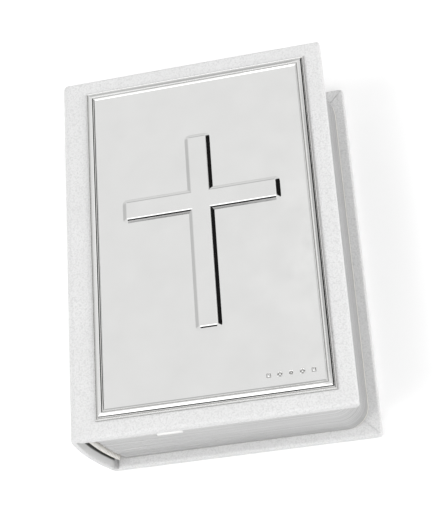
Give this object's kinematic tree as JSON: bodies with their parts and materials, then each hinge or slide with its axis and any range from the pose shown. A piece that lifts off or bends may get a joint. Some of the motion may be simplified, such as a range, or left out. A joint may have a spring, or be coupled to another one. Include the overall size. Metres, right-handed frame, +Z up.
{
  "type": "prayer book",
  "caption": "Small case-bound prayer book: white leather covers, rounded spine, silver-edged pages, ribbon marker and a pressed silver front panel with a raised cross.",
  "frame": {"origin": "middle of the footprint, on the surface that the closed book lies on", "axes": "+Z up through the front cover, +X from spine to fore-edge, +Y from tail to head"},
  "size_m": [0.0912, 0.125, 0.0377],
  "materials": {
    "leather": "fine-grained white leather, satin",
    "silver": "polished silver sheet",
    "pages": "thin paper with smooth silver-leafed edges",
    "endpaper": "smooth off-white paper",
    "board": "grey binder's board",
    "cloth": "starched open cotton cloth and linen thread",
    "band": "woven band over a cord core",
    "ribbon": "white satin ribbon",
    "filler": "plain thin panel"
  },
  "bodies": {
    "back_cover": {"back_board": "board", "back_leather": "leather", "back_pastedown": "endpaper", "back_joint_leather": "leather"},
    "text_block": {"spine_leather": "leather", "spine_stiffener": "board", "spine_lining": "endpaper", "mull_cloth": "cloth", "sewing_thread": "cloth", "head_band": "band", "tail_band": "band", "back_flyleaf": "endpaper", "ribbon_marker": "ribbon", "front_joint_leather": "leather", "section_01": "pages", "section_02": "pages", "section_03": "pages", "section_04": "pages", "section_05": "pages", "section_06": "pages", "section_07": "pages", "section_08": "pages", "section_09": "pages", "section_10": "pages", "section_11": "pages", "section_12": "pages"},
    "first_leaf": {"title_leaf": "endpaper"},
    "free_endpaper": {"front_flyleaf": "endpaper"},
    "front_cover": {"front_board": "board", "front_leather": "leather", "front_pastedown": "endpaper", "panel_backing": "filler", "silver_panel": "silver"}
  },
  "joints": [
    {"name": "back_hinge", "type": "hinge", "parent": "back_cover", "child": "text_block", "pos_m": [-0.04038, 0, 0.0034], "axis": [0, 1, 0], "range_deg": [-75, 0], "deforming": ["back_joint_leather"]},
    {"name": "front_hinge", "type": "hinge", "parent": "text_block", "child": "front_cover", "pos_m": [-0.04238, 0, 0.0342], "axis": [0, -1, 0], "range_deg": [0, 175], "deforming": ["front_joint_leather"]},
    {"name": "endpaper_turn", "type": "hinge", "parent": "text_block", "child": "free_endpaper", "pos_m": [-0.03918, 0, 0.0321], "axis": [0, -1, 0], "range_deg": [0, 126]},
    {"name": "first_leaf_turn", "type": "hinge", "parent": "text_block", "child": "first_leaf", "pos_m": [-0.03818, 0, 0.0318], "axis": [0, -1, 0], "range_deg": [0, 76]}
  ],
  "couplings": [
    {"joint": "endpaper_turn", "follows": "front_hinge", "ratio": 0.7},
    {"joint": "first_leaf_turn", "follows": "front_hinge", "ratio": 0.42}
  ]
}
